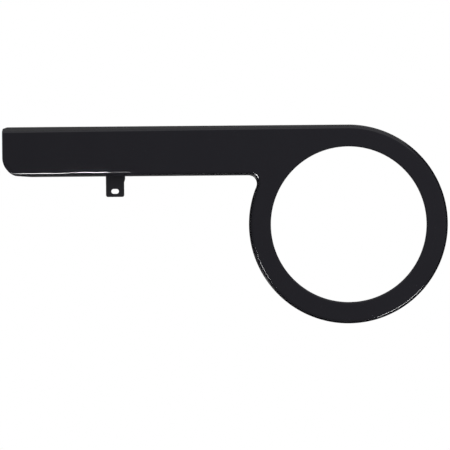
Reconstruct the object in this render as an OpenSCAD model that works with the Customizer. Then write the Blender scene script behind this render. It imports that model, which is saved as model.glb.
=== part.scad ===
// Chain guard pressed from one steel sheet. A ring goes round the chainwheel and a
// straight arm covers the upper run of the chain. The flange that runs round the ring
// and along both edges of the arm leans outwards a little, and the arm's rear end is open.
// Two bent brackets are spot-welded inside the flange and bolt to the frame.
//
// X runs along the arm, and +X is the front of the vehicle. Z is up. The face looks
// along -Y and the flange goes back along +Y. The origin is on the crank's axis, in the
// plane of the face.

/* [Ring] */
// Clear diameter of the opening round the chainwheel
opening_d = 155.2; // [140:0.1:170]
// Radial width of the ring, from the opening to the edge of the flange
band_w = 21.9; // [19:0.1:28]

/* [Arm] */
// Distance from the crank's axis to the arm's rear end
arm_reach = 344.9; // [290:0.1:420]
// Height of the arm at the ring, over both flanges
arm_h = 50; // [42:0.1:62]
// Radius of the arm's lower rear corner
corner_r = 20; // [10:1:30]
// Radius of the throat between the arm and the ring, at the edge of the flange
throat_r = 8.3; // [5:0.1:14]

/* [Sheet and flange] */
// Thickness of the sheet
sheet_t = 1; // [0.7:0.1:1.5]
// Outside radius of the bend between the face and the flange
bend_r = 3; // [2:0.1:4.5]
// Outward lean of the flange, in degrees
flare = 9; // [2:1:14]
// Depth of the flange round the ring and under the arm, from the face
flange_d = 14; // [11:0.5:18]
// Depth of the arm's top flange at the rear end
rear_flange_d = 26; // [20:0.5:32]
// Length in which the lower flange grows to its full depth at the rear end
flange_lead = 21; // [12:1:30]
// Radius of the top flange's free rear corner
flange_corner_r = 4; // [2:0.5:8]
// Outside radius of the bend at the edge of the opening
lip_r = 2; // [1.6:0.1:3]
// Depth of the lip round the opening, from the face
lip_d = 5; // [4:0.5:8]

/* [Brackets] */
// Thickness of both brackets
bracket_t = 2; // [1.5:0.1:3]
// Inside radius of the brackets' bend
bracket_bend_r = 1.5; // [1:0.1:2.5]
// Distance of the brackets' bolting plane behind the edge of the ring's flange
bracket_reach = 6; // [5:0.5:12]
// Radius of the brackets' free corners
bracket_corner_r = 2; // [1:0.1:3]

/* [Rear tab] */
// Distance from the crank's axis back to the middle of the tab
tab_back = 233.1; // [200:0.1:270]
// Width of the tab
tab_w = 18.3; // [15:0.1:24]
// Length of the tab below the arm
tab_drop = 20.6; // [16:0.1:30]
// Extra width of the tab's root on its front side
tab_shoulder = 1; // [0.5:0.1:2]
// Width of the tab's slot
slot_w = 4.8; // [4.2:0.1:6.6]
// Length of the tab's slot, end to end
slot_len = 7.6; // [7:0.1:11]
// Height of the slot's middle above the tab's lower edge
slot_up = 5.6; // [5:0.1:9]

/* [Front bracket] */
// Distance from the crank's axis back to the middle of the front bracket
front_back = 46; // [36:1:50]
// Width of the front bracket
front_w = 18; // [14:0.5:22]
// Length of the front bracket's bolting leg, below the top of the ring
front_drop = 27; // [24:0.5:30]
// Diameter of the front bracket's hole
front_hole_d = 4.8; // [4.2:0.1:6.6]
// Height of the hole above the bracket's lower edge
front_hole_up = 7; // [6:0.5:10]

/* [Hidden] */
$fn = 180;

// Overlap by which the face runs over the edges that are bent along it
lap = 2;
// Spare length of a cutter beyond what it cuts
spare = 5;
// Depth by which a leg starts inside its bend, so that the two join in one clean line
seam = 0.0005;
// Length by which the stretches of the edge run into each other, so that they join
join = 0.00003;
// Depth beyond the end of a bend at which a bracket's welded leg begins
weld_margin = 1;
// Height of the tab's shoulder, as seen from the front
shoulder_h = 6;

opening_r = opening_d / 2;
ring_r = opening_r + band_w;
bolt_plane = flange_d + bracket_reach;

// How far the outside of the flange stands out from the fold line, at a depth behind the face
function stand_out(depth) =
    (bend_r - seam + (depth - bend_r) * sin(flare)) / cos(flare);

// The same for the inside of the flange
function stand_in(depth) = stand_out(depth) - sheet_t / cos(flare);

// The throat's centre is one throat radius outside both the ring and the arm's lower edge.
// It is rounded to a tenth, and the throat and the lower edge follow from it.
throat_z = round((ring_r - arm_h - throat_r) * 10) / 10;
throat_x = -round(sqrt(pow(ring_r + throat_r, 2) - pow(throat_z, 2)) * 10) / 10;
throat_edge_r = norm([throat_x, throat_z]) - ring_r;
throat_fold_r = throat_edge_r + stand_out(flange_d);

// A fold line is where the flat face ends and a bend begins
fold_r = ring_r - stand_out(flange_d);
arm_low = throat_z + throat_edge_r;
fold_low = throat_z + throat_fold_r;

// The top flange's edge stays level, so its fold line falls as the flange gets deeper. The
// fall's cosine is a whole number of millionths, so that the turned edge keeps its size.
fall_sine = (stand_out(rear_flange_d) - stand_out(flange_d)) / arm_reach;
fold_fall = acos(1 - round((1 - sqrt(1 - pow(fall_sine, 2))) * 1e6) / 1e6);

// The lower rear corner's centre, and where its arc meets the lower fold line
corner_x = corner_r - arm_reach;
corner_z = arm_low + corner_r;
corner_meets_fold = corner_x - sqrt(pow(corner_r, 2) - pow(corner_z - fold_low, 2));

// Drawings lie flat with the face up, X to the right and Y up. This stands them upright,
// so that Y becomes Z and what lies below the drawing plane becomes depth behind the face.
module upright() {
    rotate([90, 0, 0]) children();
}

// Moves along X by hundredths first and then by the rest, so that no digit is lost
module exactly_x(distance) {
    coarse = floor(distance * 100) / 100;
    translate([coarse, 0]) translate([distance - coarse, 0]) children();
}

// A section drawn with X outwards and Y up, pushed along X from one place to another
module along_x(from, to) {
    translate([from, 0, 0]) rotate([90, 0, 90]) linear_extrude(to - from) children();
}

// What a rounded corner leaves of a square, with the corner at the origin
module corner_waste(radius) {
    difference() {
        translate([-spare, -spare]) square(radius + spare);
        translate([radius, radius]) circle(radius);
    }
}

// Section of a sheet with one bend. The first leg comes along X with its outer side at
// Y = 0, the bend begins at X = 0, and the second leg goes down and leans outwards.
module bent_sheet(outer_r, thickness, lean, first, second) {
    out = [cos(lean), sin(lean)];
    down = [sin(lean), -cos(lean)];
    middle = [0, -outer_r];
    inner_r = outer_r - thickness;
    far = second + spare;
    difference() {
        union() {
            translate([-first, -outer_r]) square([first, outer_r]);
            translate(middle) circle(outer_r);
            polygon([
                middle,
                middle + second * down,
                middle + second * down + (outer_r - seam) * out,
                middle + (outer_r - seam) * out
            ]);
        }
        translate([-first - spare, -outer_r]) square([first + spare, inner_r]);
        translate(middle) circle(inner_r);
        polygon([
            middle,
            [-first - spare, -outer_r],
            [-first - far, -outer_r - far],
            middle + (inner_r - seam) * out + far * down,
            middle + (inner_r - seam) * out
        ]);
    }
}

// Section of the face's edge, from the fold line outwards, to a depth behind the face. It is
// drawn at the same length for every depth and then cut, so that neighbours match exactly.
module edge_section(depth) {
    drawn = max(flange_d, rear_flange_d) + spare;
    difference() {
        bent_sheet(bend_r, sheet_t, flare, lap, drawn);
        translate([-lap - spare, -depth - drawn])
            square([stand_out(depth + drawn) + lap + 2 * spare, drawn]);
    }
}

// Section of the lip round the opening, with the radius measured along X
module lip_section() {
    exactly_x(opening_r) {
        translate([lip_r, -sheet_t]) square([lap, sheet_t]);
        intersection() {
            difference() {
                translate([lip_r, -lip_r]) circle(lip_r);
                translate([lip_r, -lip_r]) circle(lip_r - sheet_t);
            }
            translate([0, -lip_r]) square(lip_r);
        }
        translate([0, -lip_d]) square([sheet_t, lip_d - lip_r]);
    }
}

// Outline of the flat face. It ends between the fold lines and the edges' inner ends, and
// its parts cross one another there instead of touching.
module face_outline() {
    rise = fold_r - lap / 2;
    difference() {
        union() {
            circle(rise);
            polygon([
                [-arm_reach, fold_low + lap / 2],
                [0, fold_low + lap / 2],
                [0, fold_r - lap * 0.3],
                [-arm_reach, fold_r - lap * 0.3 - arm_reach * tan(fold_fall)]
            ]);
            difference() {
                polygon([
                    [0, 0],
                    [0, fold_low + lap],
                    [throat_x, fold_low + lap],
                    [throat_x, throat_z]
                ]);
                translate([throat_x, throat_z]) circle(throat_fold_r + lap * 0.6);
            }
        }
        circle(opening_r + lip_r + lap / 2);
    }
}

// The top edge is as deep as at the rear end, and is cut to its slope here
module top_edge() {
    rotate([0, 0, fold_fall])
        difference() {
            along_x(-arm_reach - spare, join) exactly_x(fold_r) edge_section(rear_flange_d);
            translate([0, ring_r + rear_flange_d, 0]) rotate([90, 0, 0])
                linear_extrude(ring_r)
                    polygon([
                        [spare, -flange_d],
                        [0, -flange_d],
                        [-arm_reach, -rear_flange_d],
                        [-arm_reach - 2 * spare, -rear_flange_d - spare],
                        [spare, -rear_flange_d - spare]
                    ]);
        }
}

module low_edge() {
    translate([0, throat_z, 0])
        along_x(-arm_reach - spare, throat_x + join)
            exactly_x(throat_fold_r) mirror([1, 0]) edge_section(flange_d);
}

// The ring's edge leaves out the sector between the arm's top and the throat
module ring_edge() {
    depth = flange_d + spare;
    difference() {
        rotate_extrude() exactly_x(fold_r) edge_section(flange_d);
        intersection() {
            rotate([0, 0, fold_fall])
                translate([-3 * ring_r, 0, -depth])
                    cube([3 * ring_r, 3 * ring_r, depth + spare]);
            translate([0, 0, -depth]) linear_extrude(depth + spare)
                polygon([
                    [0, 0],
                    [spare, 2 * ring_r],
                    [2 * throat_x, 2 * ring_r],
                    [2 * throat_x, 2 * throat_z]
                ]);
        }
    }
}

// The throat's edge turns the other way, from the ring to the arm's lower edge
module throat_edge() {
    intersection() {
        translate([throat_x, throat_z, 0])
            rotate_extrude()
                exactly_x(throat_fold_r) mirror([1, 0]) edge_section(flange_d);
        translate([0, 0, -flange_d - spare]) linear_extrude(flange_d + 2 * spare)
            polygon([
                [0, 0],
                [throat_x, throat_z - join],
                [throat_x, ring_r],
                [0, ring_r]
            ]);
    }
}

// What is trimmed off the arm's rear end: the square end, the round lower corner, the
// lower flange's slanting start and the top flange's round corner
module rear_trim() {
    depth = rear_flange_d + spare;
    translate([-arm_reach - 3 * spare, 0, -depth])
        cube([3 * spare, ring_r + spare, depth + spare]);
    translate([-arm_reach, arm_low, -depth])
        linear_extrude(depth + spare) corner_waste(corner_r);
    translate([0, fold_low, 0]) rotate([90, 0, 0])
        linear_extrude(fold_low - arm_low + spare)
            polygon([
                [-arm_reach - spare, -bend_r],
                [-arm_reach - spare, -depth],
                [corner_meets_fold + flange_lead, -depth],
                [corner_meets_fold + flange_lead, -flange_d],
                [corner_meets_fold, -bend_r]
            ]);
    translate([-arm_reach, ring_r + spare, -rear_flange_d]) rotate([90, 0, 0])
        linear_extrude(arm_h / 2) corner_waste(flange_corner_r);
}

module guard_shell() {
    color([0.11, 0.11, 0.12])
        upright()
            difference() {
                union() {
                    translate([0, 0, -sheet_t]) linear_extrude(sheet_t) face_outline();
                    top_edge();
                    low_edge();
                    ring_edge();
                    throat_edge();
                    rotate_extrude() lip_section();
                }
                rear_trim();
            }
}

// Side view of a bracket, with depth along X and height along Y. The bolting leg hangs down
// from the bend's middle height to a lower end, and the welded leg leans towards the face.
module bracket_side(lean, bend_z, low) {
    outer_r = bracket_bend_r + bracket_t;
    welded_leg = (bolt_plane - outer_r - weld_from) / cos(lean);
    translate([bolt_plane, bend_z]) mirror([1, -1])
        bent_sheet(outer_r, bracket_t, lean, bend_z - low, welded_leg);
}

// Rounds off the two lower corners of a bolting leg that is centred on X = 0
module leg_corners(left, right, low) {
    for (side = [[left, 0], [right, 1]])
        translate([side[0], bolt_plane + spare, low])
            rotate([90, 0, 0]) linear_extrude(bracket_t + 2 * spare)
                mirror([side[1], 0]) corner_waste(bracket_corner_r);
}

// Depth of the middle of a bracket's bend, and of the place where its welded leg begins
bracket_bend_d = bolt_plane - bracket_t - bracket_bend_r;
weld_from = bend_r + weld_margin;

// Heights of the bends' middles at which the welded legs lie flat on the flange's inside
tab_bend_z = fold_low + ((bend_r - bracket_bend_d) * sin(flare)
    - bend_r + sheet_t + 2 * seam - bracket_bend_r) / cos(flare);
front_bend_z = fold_r + ((bracket_bend_d - bend_r) * sin(flare)
    + bend_r - sheet_t - bracket_bend_r - bracket_t) / cos(flare);

// The tab lies on the inside of the lower flange and turns down behind the flange's edge
module rear_tab() {
    low = arm_low - tab_drop;
    half = tab_w / 2;
    color([0.12, 0.12, 0.13])
        translate([-tab_back, 0, 0])
            difference() {
                along_x(-half, half + tab_shoulder) bracket_side(flare, tab_bend_z, low);
                leg_corners(-half, half, low);
                translate([0, bolt_plane + spare, 0]) rotate([90, 0, 0])
                    linear_extrude(bracket_t + 2 * spare)
                        polygon([
                            [half, low - spare],
                            [half, arm_low - shoulder_h],
                            [half + tab_shoulder, arm_low - shoulder_h / 2],
                            [half + tab_shoulder + spare, arm_low - shoulder_h / 2],
                            [half + tab_shoulder + spare, low - spare]
                        ]);
                translate([0, bolt_plane + spare, low + slot_up]) rotate([90, 0, 0])
                    linear_extrude(bracket_t + 2 * spare) slot_outline();
            }
}

module slot_outline() {
    travel = slot_len - slot_w;
    translate([-travel / 2, -slot_w / 2]) square([travel, slot_w]);
    for (side = [-1, 1]) translate([side * travel / 2, 0]) circle(slot_w / 2);
}

// The front bracket hangs from the inside of the top flange, hidden behind the face, and
// turns with the flange's fold
module front_bracket() {
    low = ring_r - front_drop;
    half = front_w / 2;
    color([0.12, 0.12, 0.13])
        rotate([0, -fold_fall, 0])
            translate([-front_back, 0, 0])
                difference() {
                    along_x(-half, half) bracket_side(-flare, front_bend_z, low);
                    leg_corners(-half, half, low);
                    translate([0, bolt_plane + spare, low + front_hole_up])
                        rotate([90, 0, 0])
                            cylinder(h = bracket_t + 2 * spare, d = front_hole_d);
                }
}

guard_shell();
rear_tab();
front_bracket();
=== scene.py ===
"""Chain guard pressed from steel sheet and painted gloss black, in a plain white studio."""

import math

import bmesh
import bpy
from mathutils import Matrix, Vector
from mathutils.geometry import delaunay_2d_cdt


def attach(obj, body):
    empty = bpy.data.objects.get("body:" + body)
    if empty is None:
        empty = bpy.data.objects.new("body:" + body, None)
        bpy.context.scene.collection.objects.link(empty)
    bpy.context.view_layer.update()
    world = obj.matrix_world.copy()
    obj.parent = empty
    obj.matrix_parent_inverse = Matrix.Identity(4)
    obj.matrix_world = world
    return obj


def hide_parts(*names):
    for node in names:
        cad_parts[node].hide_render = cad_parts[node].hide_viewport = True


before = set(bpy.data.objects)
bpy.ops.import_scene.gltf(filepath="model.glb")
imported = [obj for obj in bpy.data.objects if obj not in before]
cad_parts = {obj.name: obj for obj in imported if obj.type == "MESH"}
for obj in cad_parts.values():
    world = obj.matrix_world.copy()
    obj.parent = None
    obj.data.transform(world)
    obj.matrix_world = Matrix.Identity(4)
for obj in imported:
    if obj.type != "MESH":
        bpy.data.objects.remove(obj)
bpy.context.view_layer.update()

MM = 0.001

# Sizes of the pressing, in millimetres, as in the frame. X runs along the arm with the
# ring's centre at 0, Z is up, and the depth behind the face runs along +Y.
OPENING_R = 77.6
RING_R = 99.5
ARM_REACH = 344.9
ARM_HEIGHT = 50.0
THROAT_R = 8.3
CORNER_R = 20.0
SHEET = 1.0
BEND_R = 3.0
FLARE = math.radians(9.0)
FLANGE_DEPTH = 14.0
REAR_FLANGE_DEPTH = 26.0
FLANGE_LEAD = 21.0
FLANGE_CORNER_R = 4.0
LIP_R = 2.0
LIP_DEPTH = 5.0

# How the pressing is meshed: the flat rim's width, rows across an edge, the powers that
# crowd them, and steps along the edge
FLAT_RIM = 4.0
RIM_ROWS = 2
BEND_ROWS = 12
FLANGE_ROWS = 4
LIP_ROWS = 1
RIM_CROWDING = 2.5
FLANGE_CROWDING = 1.8
ARM_TOP_STEPS = 60
RING_STEPS = 220
THROAT_STEPS = 28
ARM_LOW_STEPS = 70
OPENING_STEPS = 240
CORNER_STEPS = 16
REAR_END_STEPS = 6

# Distances in metres below which two corners are one: in the pressing, in a bracket, and on
# the flat face's borders
SAME_PLACE = 1e-6
SAME_BRACKET_PLACE = 2e-6
SAME_BORDER_PLACE = 1e-8

# How sheared edges are broken: the radius on the pressing and on the brackets, the least
# angle of such an edge, and the angle under which two sides of a bracket are one flat
SHEARED_EDGE_R = 0.16
BRACKET_EDGE_R = 0.22
EDGE_SEGMENTS = 2
EDGE_ANGLE = math.radians(50)
FLAT_ANGLE = math.radians(0.5)


def stand_out(depth):
    """How far the flange's outside stands out from the fold line, at a depth behind the face."""
    return (BEND_R + (depth - BEND_R) * math.sin(FLARE)) / math.cos(FLARE)


def to_tenths(length):
    """A length rounded to a tenth of a millimetre, as the throat's centre is in the frame."""
    return round(length * 10) / 10


FOLD_R = RING_R - stand_out(FLANGE_DEPTH)
THROAT_Z = to_tenths(RING_R - ARM_HEIGHT - THROAT_R)
THROAT_X = -to_tenths(math.sqrt((RING_R + THROAT_R) ** 2 - THROAT_Z**2))
THROAT_FOLD_R = math.hypot(THROAT_X, THROAT_Z) - FOLD_R
FOLD_LOW = THROAT_Z + THROAT_FOLD_R
FOLD_FALL = math.asin((stand_out(REAR_FLANGE_DEPTH) - stand_out(FLANGE_DEPTH)) / ARM_REACH)
CORNER_X = CORNER_R - ARM_REACH
CORNER_Z = FOLD_LOW - stand_out(FLANGE_DEPTH) + CORNER_R


# Small helpers for node trees


def socket(tree, name, kind, default=None, into="INPUT", low=None):
    """Gives a node group a named input or output."""
    made = tree.interface.new_socket(name, in_out=into, socket_type="NodeSocket" + kind)
    if default is not None:
        made.default_value = default
    if low is not None:
        made.min_value = low


def feed(tree, target, value):
    """Links a socket to an input, or writes a plain value into it."""
    if isinstance(value, bpy.types.NodeSocket):
        tree.links.new(value, target)
    else:
        target.default_value = value


def add(tree, kind, values=None, **settings):
    """A node with its settings made and its inputs fed by name or place."""
    node = tree.nodes.new(kind)
    for key, value in settings.items():
        setattr(node, key, value)
    for key, value in (values or {}).items():
        feed(tree, node.inputs[key], value)
    return node


def math_of(tree, operation, *values, clamp=False):
    """The result of one operation on sockets or plain numbers."""
    node = add(tree, "ShaderNodeMath", dict(enumerate(values)), operation=operation)
    node.use_clamp = clamp
    return node.outputs[0]


def vector_of(tree, operation, *values, scale=None):
    """The result of one operation on vectors."""
    node = add(tree, "ShaderNodeVectorMath", dict(enumerate(values)), operation=operation)
    if scale is not None:
        feed(tree, node.inputs["Scale"], scale)
    return node.outputs["Vector"]


# The pressed edge: a section of flat rim, bend and flange that follows a fold line


def pressed_edge_tree():
    """Sweeps a sheet's bent section along a fold line.

    The fold line's points carry rail (their place), outward (the way the flange lies from
    the face) and depth (how deep the flange is there).
    """
    tree = bpy.data.node_groups.new("Pressed edge", "GeometryNodeTree")
    socket(tree, "Fold line", "Geometry")
    socket(tree, "Flat rim", "Float", low=0.0)
    socket(tree, "Bend radius", "Float", low=0.0)
    socket(tree, "Lean", "Float")
    socket(tree, "Rim rows", "Int", low=1)
    socket(tree, "Bend rows", "Int", low=2)
    socket(tree, "Flange rows", "Int", low=1)
    socket(tree, "Paint", "Material")
    socket(tree, "Sheet", "Geometry", into="OUTPUT")
    given = tree.nodes.new("NodeGroupInput").outputs
    result = tree.nodes.new("NodeGroupOutput")

    bend_starts = given["Rim rows"]
    flange_starts = math_of(tree, "ADD", bend_starts, given["Bend rows"])
    rows = math_of(tree, "ADD", flange_starts, given["Flange rows"])
    line = add(tree, "GeometryNodeCurvePrimitiveLine")
    section = add(
        tree,
        "GeometryNodeResampleCurve",
        {"Curve": line.outputs[0], "Count": math_of(tree, "ADD", rows, 1)},
    )
    numbered = add(
        tree,
        "GeometryNodeStoreNamedAttribute",
        {
            "Geometry": section.outputs[0],
            "Name": "across",
            "Value": tree.nodes.new("GeometryNodeInputIndex").outputs[0],
        },
        data_type="FLOAT",
        domain="POINT",
    )
    along = add(tree, "GeometryNodeMeshToCurve", {"Mesh": given["Fold line"]})
    swept = add(
        tree,
        "GeometryNodeCurveToMesh",
        {"Curve": along.outputs[0], "Profile Curve": numbered.outputs[0]},
    )

    def attribute(name, kind):
        """What the fold line's points or the section's rows carry under a name."""
        return add(
            tree, "GeometryNodeInputNamedAttribute", {"Name": name}, data_type=kind
        ).outputs["Attribute"]

    across = attribute("across", "FLOAT")
    in_rim = math_of(tree, "DIVIDE", across, bend_starts, clamp=True)
    in_bend = math_of(
        tree,
        "DIVIDE",
        math_of(tree, "SUBTRACT", across, bend_starts),
        given["Bend rows"],
        clamp=True,
    )
    in_flange = math_of(
        tree,
        "DIVIDE",
        math_of(tree, "SUBTRACT", across, flange_starts),
        given["Flange rows"],
        clamp=True,
    )

    # The rim's rows crowd towards the bend, and the flange's rows do too
    rim_left = math_of(tree, "POWER", math_of(tree, "SUBTRACT", 1.0, in_rim), RIM_CROWDING)
    rim_reach = math_of(tree, "MULTIPLY", rim_left, given["Flat rim"])
    flange_share = math_of(tree, "POWER", in_flange, FLANGE_CROWDING)

    lean_sine = math_of(tree, "SINE", given["Lean"])
    lean_cosine = math_of(tree, "COSINE", given["Lean"])
    full_turn = math_of(tree, "SUBTRACT", math.pi / 2, given["Lean"])
    turn = math_of(tree, "MULTIPLY", in_bend, full_turn)
    bend_out = math_of(tree, "MULTIPLY", given["Bend radius"], math_of(tree, "SINE", turn))
    bend_back = math_of(
        tree,
        "MULTIPLY",
        given["Bend radius"],
        math_of(tree, "SUBTRACT", 1.0, math_of(tree, "COSINE", turn)),
    )
    bend_depth = math_of(
        tree, "MULTIPLY", given["Bend radius"], math_of(tree, "SUBTRACT", 1.0, lean_sine)
    )
    flange_back = math_of(
        tree,
        "MULTIPLY",
        flange_share,
        math_of(tree, "SUBTRACT", attribute("depth", "FLOAT"), bend_depth),
    )
    flange_out = math_of(
        tree, "MULTIPLY", flange_back, math_of(tree, "DIVIDE", lean_sine, lean_cosine)
    )
    out = math_of(
        tree,
        "ADD",
        math_of(tree, "SUBTRACT", bend_out, rim_reach),
        flange_out,
    )
    back = math_of(tree, "ADD", bend_back, flange_back)
    sideways = vector_of(tree, "SCALE", attribute("outward", "FLOAT_VECTOR"), scale=out)
    backwards = add(tree, "ShaderNodeCombineXYZ", {"Y": back}).outputs[0]
    place = vector_of(
        tree,
        "ADD",
        attribute("rail", "FLOAT_VECTOR"),
        vector_of(tree, "ADD", sideways, backwards),
    )
    set_out = add(
        tree, "GeometryNodeSetPosition", {"Geometry": swept.outputs[0], "Position": place}
    )
    real = add(tree, "GeometryNodeRealizeInstances", {"Geometry": set_out.outputs[0]})
    painted = add(
        tree,
        "GeometryNodeSetMaterial",
        {"Geometry": real.outputs[0], "Material": given["Paint"]},
    )
    tree.links.new(painted.outputs[0], result.inputs["Sheet"])
    return tree


def fold_line_mesh(name, points, closed):
    """A chain of edges whose points carry what the pressed edge reads."""
    mesh = bpy.data.meshes.new(name)
    count = len(points)
    edges = [(i, (i + 1) % count) for i in range(count if closed else count - 1)]
    mesh.from_pydata([Vector(p["rail"]) for p in points], edges, [])
    for key in ("rail", "outward"):
        layer = mesh.attributes.new(key, "FLOAT_VECTOR", "POINT")
        for place, point in zip(layer.data, points):
            place.vector = point[key]
    layer = mesh.attributes.new("depth", "FLOAT", "POINT")
    for place, point in zip(layer.data, points):
        place.value = point["depth"]
    return mesh


def swept_edge(name, tree, points, closed, sizes):
    """The baked mesh of a pressed edge along one fold line, with the tree's named sizes."""
    holder = bpy.data.objects.new(name, fold_line_mesh(name, points, closed))
    bpy.context.scene.collection.objects.link(holder)
    modifier = holder.modifiers.new("Pressed edge", "NODES")
    modifier.node_group = tree
    for item in tree.interface.items_tree:
        if item.in_out == "INPUT" and item.name in sizes:
            modifier[item.identifier] = sizes[item.name]
    bpy.context.view_layer.update()
    evaluated = holder.evaluated_get(bpy.context.evaluated_depsgraph_get())
    baked = bpy.data.meshes.new_from_object(evaluated)
    holder.modifiers.clear()
    bpy.data.objects.remove(holder)
    return baked


# The guard's fold lines


def fold_point(x, z, out_x, out_z, depth):
    """A point of a fold line, as the pressed edge reads it, in metres."""
    return {
        "rail": (x * MM, 0.0, z * MM),
        "outward": (out_x, 0.0, out_z),
        "depth": depth * MM,
    }


def outer_fold_points():
    """From the arm's rear top, round the ring and the throat, to the arm's rear bottom."""
    points = []
    sine, cosine = math.sin(FOLD_FALL), math.cos(FOLD_FALL)
    for i in range(ARM_TOP_STEPS):
        share = 1 - i / ARM_TOP_STEPS
        along = -share * ARM_REACH
        depth = FLANGE_DEPTH + (REAR_FLANGE_DEPTH - FLANGE_DEPTH) * share
        x = along * cosine - FOLD_R * sine
        z = along * sine + FOLD_R * cosine
        points.append(fold_point(x, z, -sine, cosine, depth))

    first = math.pi / 2 + FOLD_FALL
    last = math.atan2(THROAT_Z, THROAT_X) - 2 * math.pi
    for i in range(RING_STEPS):
        angle = first + (last - first) * i / RING_STEPS
        c, s = math.cos(angle), math.sin(angle)
        points.append(fold_point(FOLD_R * c, FOLD_R * s, c, s, FLANGE_DEPTH))

    first, last = last + math.pi, math.pi / 2
    for i in range(THROAT_STEPS):
        angle = first + (last - first) * i / THROAT_STEPS
        c, s = math.cos(angle), math.sin(angle)
        x, z = THROAT_X + THROAT_FOLD_R * c, THROAT_Z + THROAT_FOLD_R * s
        points.append(fold_point(x, z, -c, -s, FLANGE_DEPTH))

    for i in range(ARM_LOW_STEPS + 1):
        x = THROAT_X + (-ARM_REACH - THROAT_X) * i / ARM_LOW_STEPS
        points.append(fold_point(x, FOLD_LOW, 0.0, -1.0, FLANGE_DEPTH))
    return points


def opening_fold_points():
    """Round the opening, with the lip lying inwards."""
    radius = OPENING_R + LIP_R
    points = []
    for i in range(OPENING_STEPS):
        angle = math.tau * i / OPENING_STEPS
        c, s = math.cos(angle), math.sin(angle)
        points.append(fold_point(radius * c, radius * s, -c, -s, LIP_DEPTH))
    return points


# The rear end: the sheet is cut square, with a round lower corner and trimmed flanges

# How much of the sheet is drawn together to follow the trim: up to a run forward of the
# lower flange's lead, and a number of corner radii at the upper flange
TRIM_RUN = 12.0
TRIM_RADII = 3
LEAD_ENDS = CORNER_X - math.sqrt(CORNER_R**2 - (CORNER_Z - FOLD_LOW) ** 2)
TRIM_BELOW = LEAD_ENDS + FLANGE_LEAD + TRIM_RUN + ARM_REACH
TRIM_ABOVE = TRIM_RADII * FLANGE_CORNER_R
ARM_MIDDLE_Z = FOLD_LOW + ARM_HEIGHT / 2


def cut_line(z, depth, upper):
    """How far forward of the arm's rear end the sheet begins, at a height and a depth."""
    if upper:
        past = depth - (REAR_FLANGE_DEPTH - FLANGE_CORNER_R)
        if past <= 0:
            return 0.0
        past = min(past, FLANGE_CORNER_R)
        return FLANGE_CORNER_R - math.sqrt(FLANGE_CORNER_R**2 - past**2)
    drop = min(max(CORNER_Z - z, 0.0), CORNER_R)
    corner = CORNER_R - math.sqrt(CORNER_R**2 - drop**2)
    if depth <= BEND_R:
        return corner
    share = (depth - BEND_R) / (FLANGE_DEPTH - BEND_R)
    return max(corner, LEAD_ENDS + ARM_REACH + FLANGE_LEAD * share)


def trimmed(point):
    """Draws the rear stretch of the sheet together so that it begins on the cut line."""
    x, depth, z = (c / MM for c in point)
    upper = z > ARM_MIDDLE_Z
    zone = TRIM_ABOVE if upper else TRIM_BELOW
    forward = x + ARM_REACH
    if forward < zone:
        start = cut_line(z, depth, upper)
        forward = start + max(forward, 0.0) * (zone - start) / zone
        x = forward - ARM_REACH
    return Vector((x * MM, point[1], z * MM))


def rim_inner(points):
    """The inner row of a pressed edge's flat rim."""
    return [Vector(p["rail"]) - Vector(p["outward"]) * (FLAT_RIM * MM) for p in points]


def loop_edges(first, count):
    """The edges of a closed chain of numbered points."""
    return [(first + i, first + (i + 1) % count) for i in range(count)]


# What the triangulation gives back: the triangles inside the outer border
INSIDE_BORDERS = 1


def guard_sheet(tree, paint):
    """The guard's outer surface in one skin: the edges and the flat face between them."""
    outer = outer_fold_points()
    opening = opening_fold_points()
    shell = bmesh.new()
    common = {
        "Flat rim": FLAT_RIM * MM,
        "Rim rows": RIM_ROWS,
        "Bend rows": BEND_ROWS,
        "Paint": paint,
    }
    edge_sizes = {"Bend radius": BEND_R * MM, "Lean": FLARE, "Flange rows": FLANGE_ROWS}
    lip_sizes = {"Bend radius": LIP_R * MM, "Lean": 0.0, "Flange rows": LIP_ROWS}
    edge = swept_edge("edge", tree, outer, False, {**common, **edge_sizes})
    lip = swept_edge("lip", tree, opening, True, {**common, **lip_sizes})
    for mesh in (edge, lip):
        shell.from_mesh(mesh)
        bpy.data.meshes.remove(mesh)
    for vertex in shell.verts:
        vertex.co = trimmed(vertex.co)

    boundary = [trimmed(p) for p in rim_inner(outer)]
    low, high = boundary[-1].z / MM, boundary[0].z / MM
    for i in range(1, CORNER_STEPS):
        z = low + (CORNER_Z - low) * i / CORNER_STEPS
        x = cut_line(z, 0.0, False) - ARM_REACH
        boundary.append(Vector((x * MM, 0.0, z * MM)))
    for i in range(REAR_END_STEPS):
        z = CORNER_Z + (high - CORNER_Z) * i / REAR_END_STEPS
        boundary.append(Vector((-ARM_REACH * MM, 0.0, z * MM)))
    hole = rim_inner(opening)
    places, _, triples, *_ = delaunay_2d_cdt(
        [Vector((p.x, p.z)) for p in boundary + hole],
        loop_edges(0, len(boundary)) + loop_edges(len(boundary), len(hole)),
        [],
        INSIDE_BORDERS,
        SAME_BORDER_PLACE,
    )
    corners = [shell.verts.new((p.x, 0.0, p.y)) for p in places]

    # The opening is filled too, so what lies wholly within it is left out
    within = hole[0].length * math.cos(math.pi / len(hole))
    for triple in triples:
        middle = sum((places[i] for i in triple), Vector((0.0, 0.0))) / 3
        if middle.length > within:
            shell.faces.new([corners[i] for i in triple])

    bmesh.ops.remove_doubles(shell, verts=shell.verts, dist=SAME_PLACE)
    bmesh.ops.recalc_face_normals(shell, faces=shell.faces)

    # The widest triangle is on the face, which looks to the front
    widest = max(shell.faces, key=lambda f: f.calc_area())
    widest.normal_update()
    if widest.normal.y > 0:
        bmesh.ops.reverse_faces(shell, faces=shell.faces)
    mesh = bpy.data.meshes.new("guard_pressing")
    shell.to_mesh(mesh)
    shell.free()
    mesh.materials.clear()
    mesh.materials.append(paint)
    for polygon in mesh.polygons:
        polygon.material_index = 0
    return mesh


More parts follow.
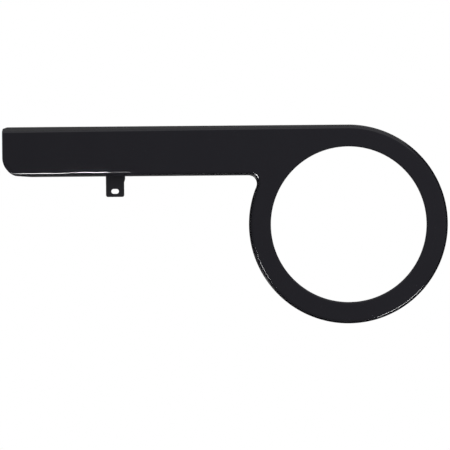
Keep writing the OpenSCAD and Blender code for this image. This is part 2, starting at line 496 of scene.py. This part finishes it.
def piece_of(name, mesh):
    """A smooth-shaded object in the scene."""
    piece = bpy.data.objects.new(name, mesh)
    bpy.context.scene.collection.objects.link(piece)
    mesh.shade_smooth()
    return piece


def run_steps(piece, *steps):
    """Runs modifiers on a piece and keeps the result as its mesh."""
    name = piece.data.name
    for kind, settings in steps:
        modifier = piece.modifiers.new(kind.title(), kind)
        for key, value in settings.items():
            setattr(modifier, key, value)
    bpy.context.view_layer.update()
    evaluated = piece.evaluated_get(bpy.context.evaluated_depsgraph_get())
    result = bpy.data.meshes.new_from_object(evaluated)
    piece.modifiers.clear()
    piece.data = result
    result.name = name


def square_off(piece):
    """Cuts the flange's edge square to the face, at the depth that it has at each place."""
    for vertex in piece.data.vertices:
        on_top = vertex.co.z > ARM_MIDDLE_Z * MM
        back = -vertex.co.x / MM if on_top else 0.0
        share = min(max(back / ARM_REACH, 0.0), 1.0)
        deepest = FLANGE_DEPTH + (REAR_FLANGE_DEPTH - FLANGE_DEPTH) * share
        vertex.co.y = min(vertex.co.y, deepest * MM)


def edge_steps(edge_radius):
    """Breaks a piece's sheared edges and evens its shading."""
    return (
        (
            "BEVEL",
            {
                "width": edge_radius * MM,
                "segments": EDGE_SEGMENTS,
                "limit_method": "ANGLE",
                "angle_limit": EDGE_ANGLE,
                "use_clamp_overlap": True,
            },
        ),
        ("WEIGHTED_NORMAL", {"mode": "FACE_AREA", "weight": 80, "keep_sharp": False}),
    )


# Effects that the paints share


def sprayed_film_group():
    """The skin of a sprayed coat: fine orange peel over the sheet's own slow waves."""
    tree = bpy.data.node_groups.new("Sprayed film", "ShaderNodeTree")
    socket(tree, "Place", "Vector")
    socket(tree, "Peel per metre", "Float", 650.0)
    socket(tree, "Peel height", "Float")
    socket(tree, "Waves per metre", "Float", 11.0)
    socket(tree, "Wave height", "Float")
    socket(tree, "Normal", "Vector", into="OUTPUT")
    given = tree.nodes.new("NodeGroupInput").outputs
    result = tree.nodes.new("NodeGroupOutput")
    waves = add(
        tree,
        "ShaderNodeTexNoise",
        {"Vector": given["Place"], "Scale": given["Waves per metre"], "Detail": 1.0},
    )
    peel = add(
        tree,
        "ShaderNodeTexNoise",
        {"Vector": given["Place"], "Scale": given["Peel per metre"], "Detail": 2.0},
    )
    slow = add(
        tree,
        "ShaderNodeBump",
        {"Strength": 1.0, "Distance": given["Wave height"], "Height": waves.outputs[0]},
    )
    fine = add(
        tree,
        "ShaderNodeBump",
        {
            "Strength": 1.0,
            "Distance": given["Peel height"],
            "Height": peel.outputs[0],
            "Normal": slow.outputs[0],
        },
    )
    tree.links.new(fine.outputs[0], result.inputs["Normal"])
    return tree


def shelf_dust_group():
    """A thin haze and a few specks, as a part gets in a warehouse."""
    tree = bpy.data.node_groups.new("Shelf dust", "ShaderNodeTree")
    socket(tree, "Place", "Vector")
    socket(tree, "Haze per metre", "Float", 30.0)
    socket(tree, "Specks per metre", "Float", 500.0)
    socket(tree, "Speck share", "Float", 0.03)
    socket(tree, "Speck radius", "Float", 0.16)
    socket(tree, "Haze", "Float", into="OUTPUT")
    socket(tree, "Specks", "Float", into="OUTPUT")
    given = tree.nodes.new("NodeGroupInput").outputs
    result = tree.nodes.new("NodeGroupOutput")
    haze = add(
        tree,
        "ShaderNodeTexNoise",
        {
            "Vector": given["Place"],
            "Scale": given["Haze per metre"],
            "Detail": 4.0,
            "Roughness": 0.6,
        },
    )
    specks = add(
        tree,
        "ShaderNodeTexVoronoi",
        {"Vector": given["Place"], "Scale": given["Specks per metre"]},
    )
    cell = add(tree, "ShaderNodeSeparateColor", {0: specks.outputs["Color"]}).outputs[0]
    chosen = math_of(tree, "LESS_THAN", cell, given["Speck share"])
    near = math_of(tree, "LESS_THAN", specks.outputs["Distance"], given["Speck radius"])
    tree.links.new(haze.outputs[0], result.inputs["Haze"])
    tree.links.new(math_of(tree, "MULTIPLY", chosen, near), result.inputs["Specks"])
    return tree


# How far dust changes the paint: the most of the dusty colour and of the specks' colour
# that is mixed in, and the shares of its roughness under the least and the most haze
HAZE_TINT = 0.5
SPECK_TINT = 0.35
SPECK_COLOUR = (0.06, 0.06, 0.062)
CLEAN_ROUGHNESS = 0.85
DULL_ROUGHNESS = 1.25


def empty_material(name):
    """A material with nothing in its node tree, and that tree."""
    material = bpy.data.materials.new(name)
    material.use_nodes = True
    material.node_tree.nodes.clear()
    return material, material.node_tree


def mixed_colour(tree, share, under, over):
    """Two colours mixed. The node's colours are its inputs 6 and 7 and its output 2."""
    mix = add(
        tree,
        "ShaderNodeMix",
        {"Factor": share, 6: under, 7: over},
        data_type="RGBA",
    )
    return mix.outputs[2]


def black_enamel(name, film, dust, colour, dusty, roughness, peel, wave):
    """Gloss black paint. Colour, roughness and normal vary over the surface."""
    material, tree = empty_material(name)
    place = tree.nodes.new("ShaderNodeTexCoord").outputs["Object"]
    skin = add(tree, "ShaderNodeGroup", node_tree=film)
    feed(tree, skin.inputs["Place"], place)
    feed(tree, skin.inputs["Peel height"], peel)
    feed(tree, skin.inputs["Wave height"], wave)
    settled = add(tree, "ShaderNodeGroup", node_tree=dust)
    feed(tree, settled.inputs["Place"], place)
    haze, specks = settled.outputs["Haze"], settled.outputs["Specks"]
    hazy = math_of(tree, "MULTIPLY", haze, HAZE_TINT, clamp=True)
    tint = mixed_colour(tree, hazy, (*colour, 1.0), (*dusty, 1.0))
    speckled = mixed_colour(
        tree, math_of(tree, "MULTIPLY", specks, SPECK_TINT), tint, (*SPECK_COLOUR, 1.0)
    )
    dull = add(
        tree,
        "ShaderNodeMapRange",
        {
            "Value": haze,
            "To Min": roughness * CLEAN_ROUGHNESS,
            "To Max": roughness * DULL_ROUGHNESS,
        },
    )
    shader = add(
        tree,
        "ShaderNodeBsdfPrincipled",
        {
            "Base Color": speckled,
            "Roughness": dull.outputs[0],
            "Normal": skin.outputs["Normal"],
            "IOR": 1.5,
        },
    )
    add(tree, "ShaderNodeOutputMaterial", {"Surface": shader.outputs[0]})
    return material


film = sprayed_film_group()
dust = shelf_dust_group()
shell_paint = black_enamel(
    "shell_enamel",
    film,
    dust,
    colour=(0.0170, 0.0165, 0.0205),
    dusty=(0.0220, 0.0215, 0.0258),
    roughness=0.15,
    peel=0.000004,
    wave=0.00008,
)
# The brackets wear the same gloss black as the pressing, but their colour and dusty colour are
# written lighter: painted light that makes up for the shade the arm's flange casts on the tab
bracket_paint = black_enamel(
    "bracket_enamel_painted_light",
    film,
    dust,
    colour=(0.0250, 0.0245, 0.0285),
    dusty=(0.0305, 0.0300, 0.0340),
    roughness=0.18,
    peel=0.000006,
    wave=0.00004,
)

# The pressing

guard = piece_of("guard_pressing", guard_sheet(pressed_edge_tree(), shell_paint))
run_steps(
    guard,
    (
        "SOLIDIFY",
        {
            "thickness": SHEET * MM,
            "offset": -1.0,
            "use_even_offset": True,
            "use_rim": True,
        },
    ),
)
square_off(guard)
run_steps(guard, *edge_steps(SHEARED_EDGE_R))
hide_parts("guard_shell")
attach(guard, "root")

# The brackets keep the frame's form, with their sheared edges broken


def bracket_piece(node):
    """A bracket's own solid, with its flat sides in one piece each and its edges rounded."""
    solid = bmesh.new()
    solid.from_mesh(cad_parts[node].data)
    bmesh.ops.remove_doubles(solid, verts=solid.verts, dist=SAME_BRACKET_PLACE)
    bmesh.ops.dissolve_limit(
        solid, angle_limit=FLAT_ANGLE, verts=solid.verts, edges=solid.edges
    )
    mesh = bpy.data.meshes.new(node + "_strip")
    solid.to_mesh(mesh)
    solid.free()
    mesh.materials.clear()
    mesh.materials.append(bracket_paint)
    piece = piece_of(node + "_strip", mesh)
    run_steps(piece, *edge_steps(BRACKET_EDGE_R))
    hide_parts(node)
    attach(piece, "root")


for bracket in ("rear_tab", "front_bracket"):
    bracket_piece(bracket)

# Studio, in metres, apart from what follows the guard's own sizes

# The white paper that the camera sees
BACKDROP_LEFT = -0.50
BACKDROP_RIGHT = 0.25
BACKDROP_Y = 2.0
BACKDROP_LOW = -0.43
BACKDROP_HIGH = 0.33
FLOOR_HALF = 2.5
FLOOR_Z = -0.60

# The black cloth that the paint mirrors on all sides
CLOTH_REACH = 6.0
CLOTH_LEFT = -5.5
CLOTH_RIGHT = 5.0
CLOTH_FRONT = -5.2
CLOTH_BEHIND = 2.3
CLOTH_BELOW = -0.58
CLOTH_ABOVE = 3.2
CLOTH_FOOT = -2.0
CLOTH_TOP_BEHIND = 4.0

# The soft ceiling that the paint mirrors, level in front and falling to a wall at the back
CEILING_LEFT = -4.0
CEILING_RIGHT = 3.0
CEILING_RIGHT_BEHIND = 2.0
CEILING_FRONT = -3.0
CEILING_FOLD = 0.2
CEILING_BEHIND = 2.2
CEILING_Z = 3.0
CEILING_Z_BEHIND = 2.6
WALL_RIGHT = 0.45
WALL_FOOT = 0.45

# How bright each of them is in the paint
CEILING_LEVEL = 0.50
CEILING_EDGE_LEVEL = 0.25
WALL_LEVEL = 0.085

# The plain light on the object
WORLD_LEVEL = 0.7
LAMP_AIM = Vector((-0.12, 0.0, 0.0))

# Bright strips that the bends mirror, and their snoots: how far the mirroring line lies from
# the fold in millimetres, the share of the way to the strip at which a snoot's mouth lies,
# half the mouth's width, and how far the mouth reaches past its stretch of bend
BEND_GLINT = 1.3
SNOOT_SHARE = 0.1
SNOOT_HALF = 0.0035
SNOOT_MARGIN = 0.002

# The collar and the disc, in millimetres, with the angle at which the collar ends on the
# ring's right side
COLLAR_GAP = 0.4
COLLAR_DEPTH = 4.0
COLLAR_WIDTH = 250.0
COLLAR_ENDS = math.radians(-20.0)
DISC_DEPTH = 2.0
DISC_STEPS = 96


def mesh_object(name, corners, faces, material):
    """An object in the scene with one material."""
    mesh = bpy.data.meshes.new(name)
    mesh.from_pydata(corners, [], faces)
    mesh.materials.append(material)
    made = bpy.data.objects.new(name, mesh)
    bpy.context.scene.collection.objects.link(made)
    return made


def stage_card(name, corners, material):
    """A card with four corners."""
    card = mesh_object(name, corners, [(0, 1, 2, 3)], material)
    return card


def band_mesh(name, pairs, material):
    """A band of faces between consecutive pairs of corners."""
    corners = [corner for pair in pairs for corner in pair]
    faces = [(i, i + 1, i + 3, i + 2) for i in range(0, len(corners) - 2, 2)]
    made = mesh_object(name, corners, faces, material)
    return made


def only_in_gloss(card):
    """Leaves a card to the paint's mirror image alone."""
    for key in ("camera", "diffuse", "transmission", "volume_scatter", "shadow"):
        setattr(card, "visible_" + key, False)


def upright(left, right, y, low, high):
    """The corners of a card that stands across the view."""
    return [(left, y, low), (right, y, low), (right, y, high), (left, y, high)]


def level_card(left, right, front, behind, z):
    """The corners of a card that lies level."""
    return [(left, front, z), (right, front, z), (right, behind, z), (left, behind, z)]


def side_card(x, front, behind, low, high):
    """The corners of a card that stands along the view."""
    return [(x, front, low), (x, behind, low), (x, behind, high), (x, front, high)]


def seen_as_background(tree):
    """Tells a camera ray, a ray in gloss and one through glass from the light's own rays."""
    path = tree.nodes.new("ShaderNodeLightPath").outputs
    mirrored = math_of(tree, "MAXIMUM", path["Is Glossy Ray"], path["Is Transmission Ray"])
    return math_of(tree, "MAXIMUM", path["Is Camera Ray"], mirrored)


def glow(tree, kind, level):
    """A shader that gives even light of one level."""
    return add(tree, kind, {"Color": (level, level, level, 1), "Strength": 1.0}).outputs[0]


def white_paper():
    """Pale paper that shows as white, directly, in gloss and through glass."""
    material, tree = empty_material("white_paper")
    seen = seen_as_background(tree)
    matte = add(tree, "ShaderNodeBsdfDiffuse", {"Color": (0.8, 0.8, 0.8, 1.0)}).outputs[0]
    lit = glow(tree, "ShaderNodeEmission", 1)
    mix = add(tree, "ShaderNodeMixShader", {0: seen, 1: matte, 2: lit})
    add(tree, "ShaderNodeOutputMaterial", {"Surface": mix.outputs[0]})
    return material


def flag_cloth(name, level):
    """Cloth that the paint mirrors at one even level. Black keeps white walls out of it."""
    material, tree = empty_material(name)
    shown = glow(tree, "ShaderNodeEmission", level)
    add(tree, "ShaderNodeOutputMaterial", {"Surface": shown})
    material.cycles.emission_sampling = "NONE"
    return material


def studio_world(level):
    """Even soft light from all sides, and white wherever the room is seen."""
    world = bpy.data.worlds.new("studio")
    bpy.context.scene.world = world
    world.use_nodes = True
    tree = world.node_tree
    tree.nodes.clear()
    seen = seen_as_background(tree)
    soft = add(tree, "ShaderNodeBackground", {"Color": (1, 1, 1, 1), "Strength": level})
    white = glow(tree, "ShaderNodeBackground", 1)
    mix = add(tree, "ShaderNodeMixShader", {0: seen, 1: soft.outputs[0], 2: white})
    add(tree, "ShaderNodeOutputWorld", {"Surface": mix.outputs[0]})


def facing(start, end, towards):
    """Three axes of a long card: along it, across it, and away from what it faces."""
    along = (end - start).normalized()
    away = (start + end) / 2 - towards
    away = (away - away.dot(along) * along).normalized()
    return along, away.cross(along), away


def softbox(name, at, width, height, watts):
    """A lamp that lights the object evenly and doesn't show in its gloss."""
    at = Vector(at)
    half = Vector((width / 2, 0, 0))
    axes = facing(at - half, at + half, LAMP_AIM)
    data = bpy.data.lights.new(name, "AREA")
    data.shape = "RECTANGLE"
    data.size, data.size_y = width, height
    data.energy = watts
    lamp = bpy.data.objects.new(name, data)
    lamp.matrix_world = Matrix.Translation(at) @ Matrix(axes).transposed().to_4x4()
    lamp.visible_camera = False
    lamp.visible_glossy = False
    bpy.context.scene.collection.objects.link(lamp)


def on_ring_bend(degrees):
    """The place on the ring's bend that mirrors a strip, at an angle round the ring."""
    radius = (FOLD_R + BEND_GLINT) * MM
    angle = math.radians(degrees)
    return Vector((radius * math.cos(angle), 0.0, radius * math.sin(angle)))


def on_arm_bend(x):
    """The place on the arm's lower bend that mirrors a strip."""
    return Vector((x, 0.0, (FOLD_LOW - BEND_GLINT) * MM))


def bright_strip(name, start, end, first, last, width, level):
    """A strip from start to end that the bend mirrors from first to last, in its snoot."""
    start, end = Vector(start), Vector(end)
    along, across, _ = facing(start, end, (first + last) / 2)
    side = across * width / 2
    corners = [start - side, end - side, end + side, start + side]
    only_in_gloss(stage_card(name, corners, flag_cloth(name + "_light", level)))
    first = first.lerp(start, SNOOT_SHARE) - along * SNOOT_MARGIN
    last = last.lerp(end, SNOOT_SHARE) + along * SNOOT_MARGIN
    side = across * SNOOT_HALF
    mouth = [first - side, last - side, last + side, first + side]
    walls = list(zip(corners + corners[:1], mouth + mouth[:1]))
    only_in_gloss(band_mesh("snoot_of_" + name, walls, black_cloth))


def collar_corners():
    """Pairs of corners, one close to the flange and one far out, never over the arm."""
    near = stand_out(COLLAR_DEPTH) + COLLAR_GAP
    highest = (FOLD_LOW - near) * MM
    pairs = []
    for point in outer_fold_points():
        fold, out = Vector(point["rail"]), Vector(point["outward"])
        faces_up_at_left = fold.x < 0 and fold.z > 0 and out.z > 0
        past_the_end = fold.x > 0 and math.atan2(out.z, out.x) > COLLAR_ENDS
        if faces_up_at_left or past_the_end:
            continue
        close, far = fold + out * near * MM, fold + out * COLLAR_WIDTH * MM
        close.z, far.z = min(close.z, highest), min(far.z, highest)
        close.y = far.y = COLLAR_DEPTH * MM
        pairs.append((close, far))
    return pairs


def disc_corners():
    """Pairs of corners, the disc's middle and a place on its rim, all the way round."""
    radius = (OPENING_R - COLLAR_GAP) * MM
    depth = DISC_DEPTH * MM
    pairs = []
    for i in range(DISC_STEPS + 1):
        angle = math.tau * i / DISC_STEPS
        rim = Vector((radius * math.cos(angle), depth, radius * math.sin(angle)))
        pairs.append((Vector((0.0, depth, 0.0)), rim))
    return pairs


studio_world(WORLD_LEVEL)
paper = white_paper()
stage_card(
    "backdrop",
    upright(BACKDROP_LEFT, BACKDROP_RIGHT, BACKDROP_Y, BACKDROP_LOW, BACKDROP_HIGH),
    paper,
)
stage_card(
    "floor", level_card(-FLOOR_HALF, FLOOR_HALF, -FLOOR_HALF, BACKDROP_Y, FLOOR_Z), paper
)

# The paint mirrors black cloth all round and a soft ceiling that fades to the back
black_cloth = flag_cloth("black_cloth", 0.0)
ceiling_light = flag_cloth("ceiling_light", CEILING_LEVEL)
ceiling_edge = flag_cloth("ceiling_edge", CEILING_EDGE_LEVEL)
wall_light = flag_cloth("wall_light", WALL_LEVEL)
ceiling_back_edge = [
    (CEILING_RIGHT_BEHIND, CEILING_BEHIND, CEILING_Z_BEHIND),
    (CEILING_LEFT, CEILING_BEHIND, CEILING_Z_BEHIND),
]
for name, corners, cloth in (
    (
        "flag_front",
        upright(-CLOTH_REACH, CLOTH_REACH, CLOTH_FRONT, -CLOTH_REACH, CLOTH_REACH),
        black_cloth,
    ),
    (
        "flag_below",
        level_card(-CLOTH_REACH, CLOTH_REACH, CLOTH_FRONT, CLOTH_REACH, CLOTH_BELOW),
        black_cloth,
    ),
    (
        "flag_right",
        side_card(CLOTH_RIGHT, CLOTH_FRONT, CLOTH_REACH, CLOTH_FOOT, CLOTH_REACH),
        black_cloth,
    ),
    (
        "flag_left",
        side_card(CLOTH_LEFT, CLOTH_FRONT, CLOTH_REACH, CLOTH_FOOT, CLOTH_REACH),
        black_cloth,
    ),
    (
        "flag_above",
        level_card(-CLOTH_REACH, CLOTH_REACH, CLOTH_FRONT, CLOTH_REACH, CLOTH_ABOVE),
        black_cloth,
    ),
    (
        "flag_behind",
        upright(-CLOTH_REACH, CLOTH_REACH, CLOTH_BEHIND, CLOTH_FOOT, CLOTH_TOP_BEHIND),
        black_cloth,
    ),
    (
        "ceiling",
        level_card(CEILING_LEFT, CEILING_RIGHT, CEILING_FRONT, CEILING_FOLD, CEILING_Z),
        ceiling_light,
    ),
    (
        "ceiling_back",
        [
            (CEILING_LEFT, CEILING_FOLD, CEILING_Z),
            (CEILING_RIGHT, CEILING_FOLD, CEILING_Z),
            *ceiling_back_edge,
        ],
        ceiling_edge,
    ),
    (
        "wall_above",
        [
            (CEILING_LEFT, CEILING_BEHIND, WALL_FOOT),
            (WALL_RIGHT, CEILING_BEHIND, WALL_FOOT),
            *ceiling_back_edge,
        ],
        wall_light,
    ),
):
    only_in_gloss(stage_card(name, corners, cloth))

# Bright strips, each in a black snoot that only its own stretch of a bend looks into
bright_strip(
    "strip_arm_rear",
    start=(-0.338, -0.184, -0.120),
    end=(-0.283, -0.184, -0.120),
    first=on_arm_bend(-0.338),
    last=on_arm_bend(-0.283),
    width=0.04,
    level=85.0,
)
bright_strip(
    "strip_arm_front",
    start=(-0.281, -0.272, -0.027),
    end=(-0.238, -0.272, -0.027),
    first=on_arm_bend(-0.281),
    last=on_arm_bend(-0.238),
    width=0.04,
    level=125.0,
)
bright_strip(
    "strip_arm_tab",
    start=(-0.238, -0.272, -0.027),
    end=(-0.220, -0.272, -0.027),
    first=on_arm_bend(-0.238),
    last=on_arm_bend(-0.220),
    width=0.04,
    level=28.0,
)
bright_strip(
    "strip_throat",
    start=(-0.184, -0.140, -0.086),
    end=(-0.224, -0.140, -0.048),
    first=Vector((-0.0958, 0.0, 0.0501)),
    last=Vector((-0.0908, 0.0, 0.0451)),
    width=0.04,
    level=100.0,
)
bright_strip(
    "strip_ring_left",
    start=(-0.246, -0.187, -0.173),
    end=(-0.292, -0.187, -0.090),
    first=on_ring_bend(-143),
    last=on_ring_bend(-172),
    width=0.03,
    level=38.0,
)
bright_strip(
    "strip_ring_right",
    start=(0.385, -0.075, -0.342),
    end=(0.161, -0.075, -0.494),
    first=on_ring_bend(-42),
    last=on_ring_bend(-74),
    width=0.06,
    level=34.0,
)

# A black collar round the lower side and a disc in the opening, both just behind the
# bends, keep the strips out of the flange, the tab and the lip
only_in_gloss(band_mesh("collar", collar_corners(), black_cloth))
only_in_gloss(band_mesh("disc", disc_corners(), black_cloth))

softbox("overhead", (0.1, -0.9, 1.6), width=1.6, height=0.8, watts=7.5)
softbox("front_fill", (0.6, -0.9, 0.2), width=0.5, height=0.5, watts=3.0)
softbox("back_fill", (-0.1, 1.7, 0.3), width=1.6, height=0.5, watts=10.0)

# Camera, at the photograph's angle: far off, a little above and slightly rolled

CAMERA_DISTANCE = 4.5
CAMERA_RISE = math.radians(1.4)
CAMERA_ROLL = math.radians(0.48)
CAMERA_SEES_TO = 50.0
AIM = Vector((-0.12341, FLANGE_DEPTH * MM, 0.00003))
FRAME_WIDTH = 0.450
SENSOR_WIDTH = 36.0

camera_data = bpy.data.cameras.new("camera")
camera_data.sensor_width = SENSOR_WIDTH
camera_data.lens = SENSOR_WIDTH * CAMERA_DISTANCE / FRAME_WIDTH
camera_data.clip_end = CAMERA_SEES_TO
camera = bpy.data.objects.new("camera", camera_data)
sight = Vector((0.0, math.cos(CAMERA_RISE), -math.sin(CAMERA_RISE)))
camera.matrix_world = (
    Matrix.Translation(AIM - sight * CAMERA_DISTANCE)
    @ sight.to_track_quat("-Z", "Y").to_matrix().to_4x4()
    @ Matrix.Rotation(-CAMERA_ROLL, 4, "Z")
)
bpy.context.scene.collection.objects.link(camera)
bpy.context.scene.camera = camera
bpy.context.scene.view_settings.view_transform = "Standard"
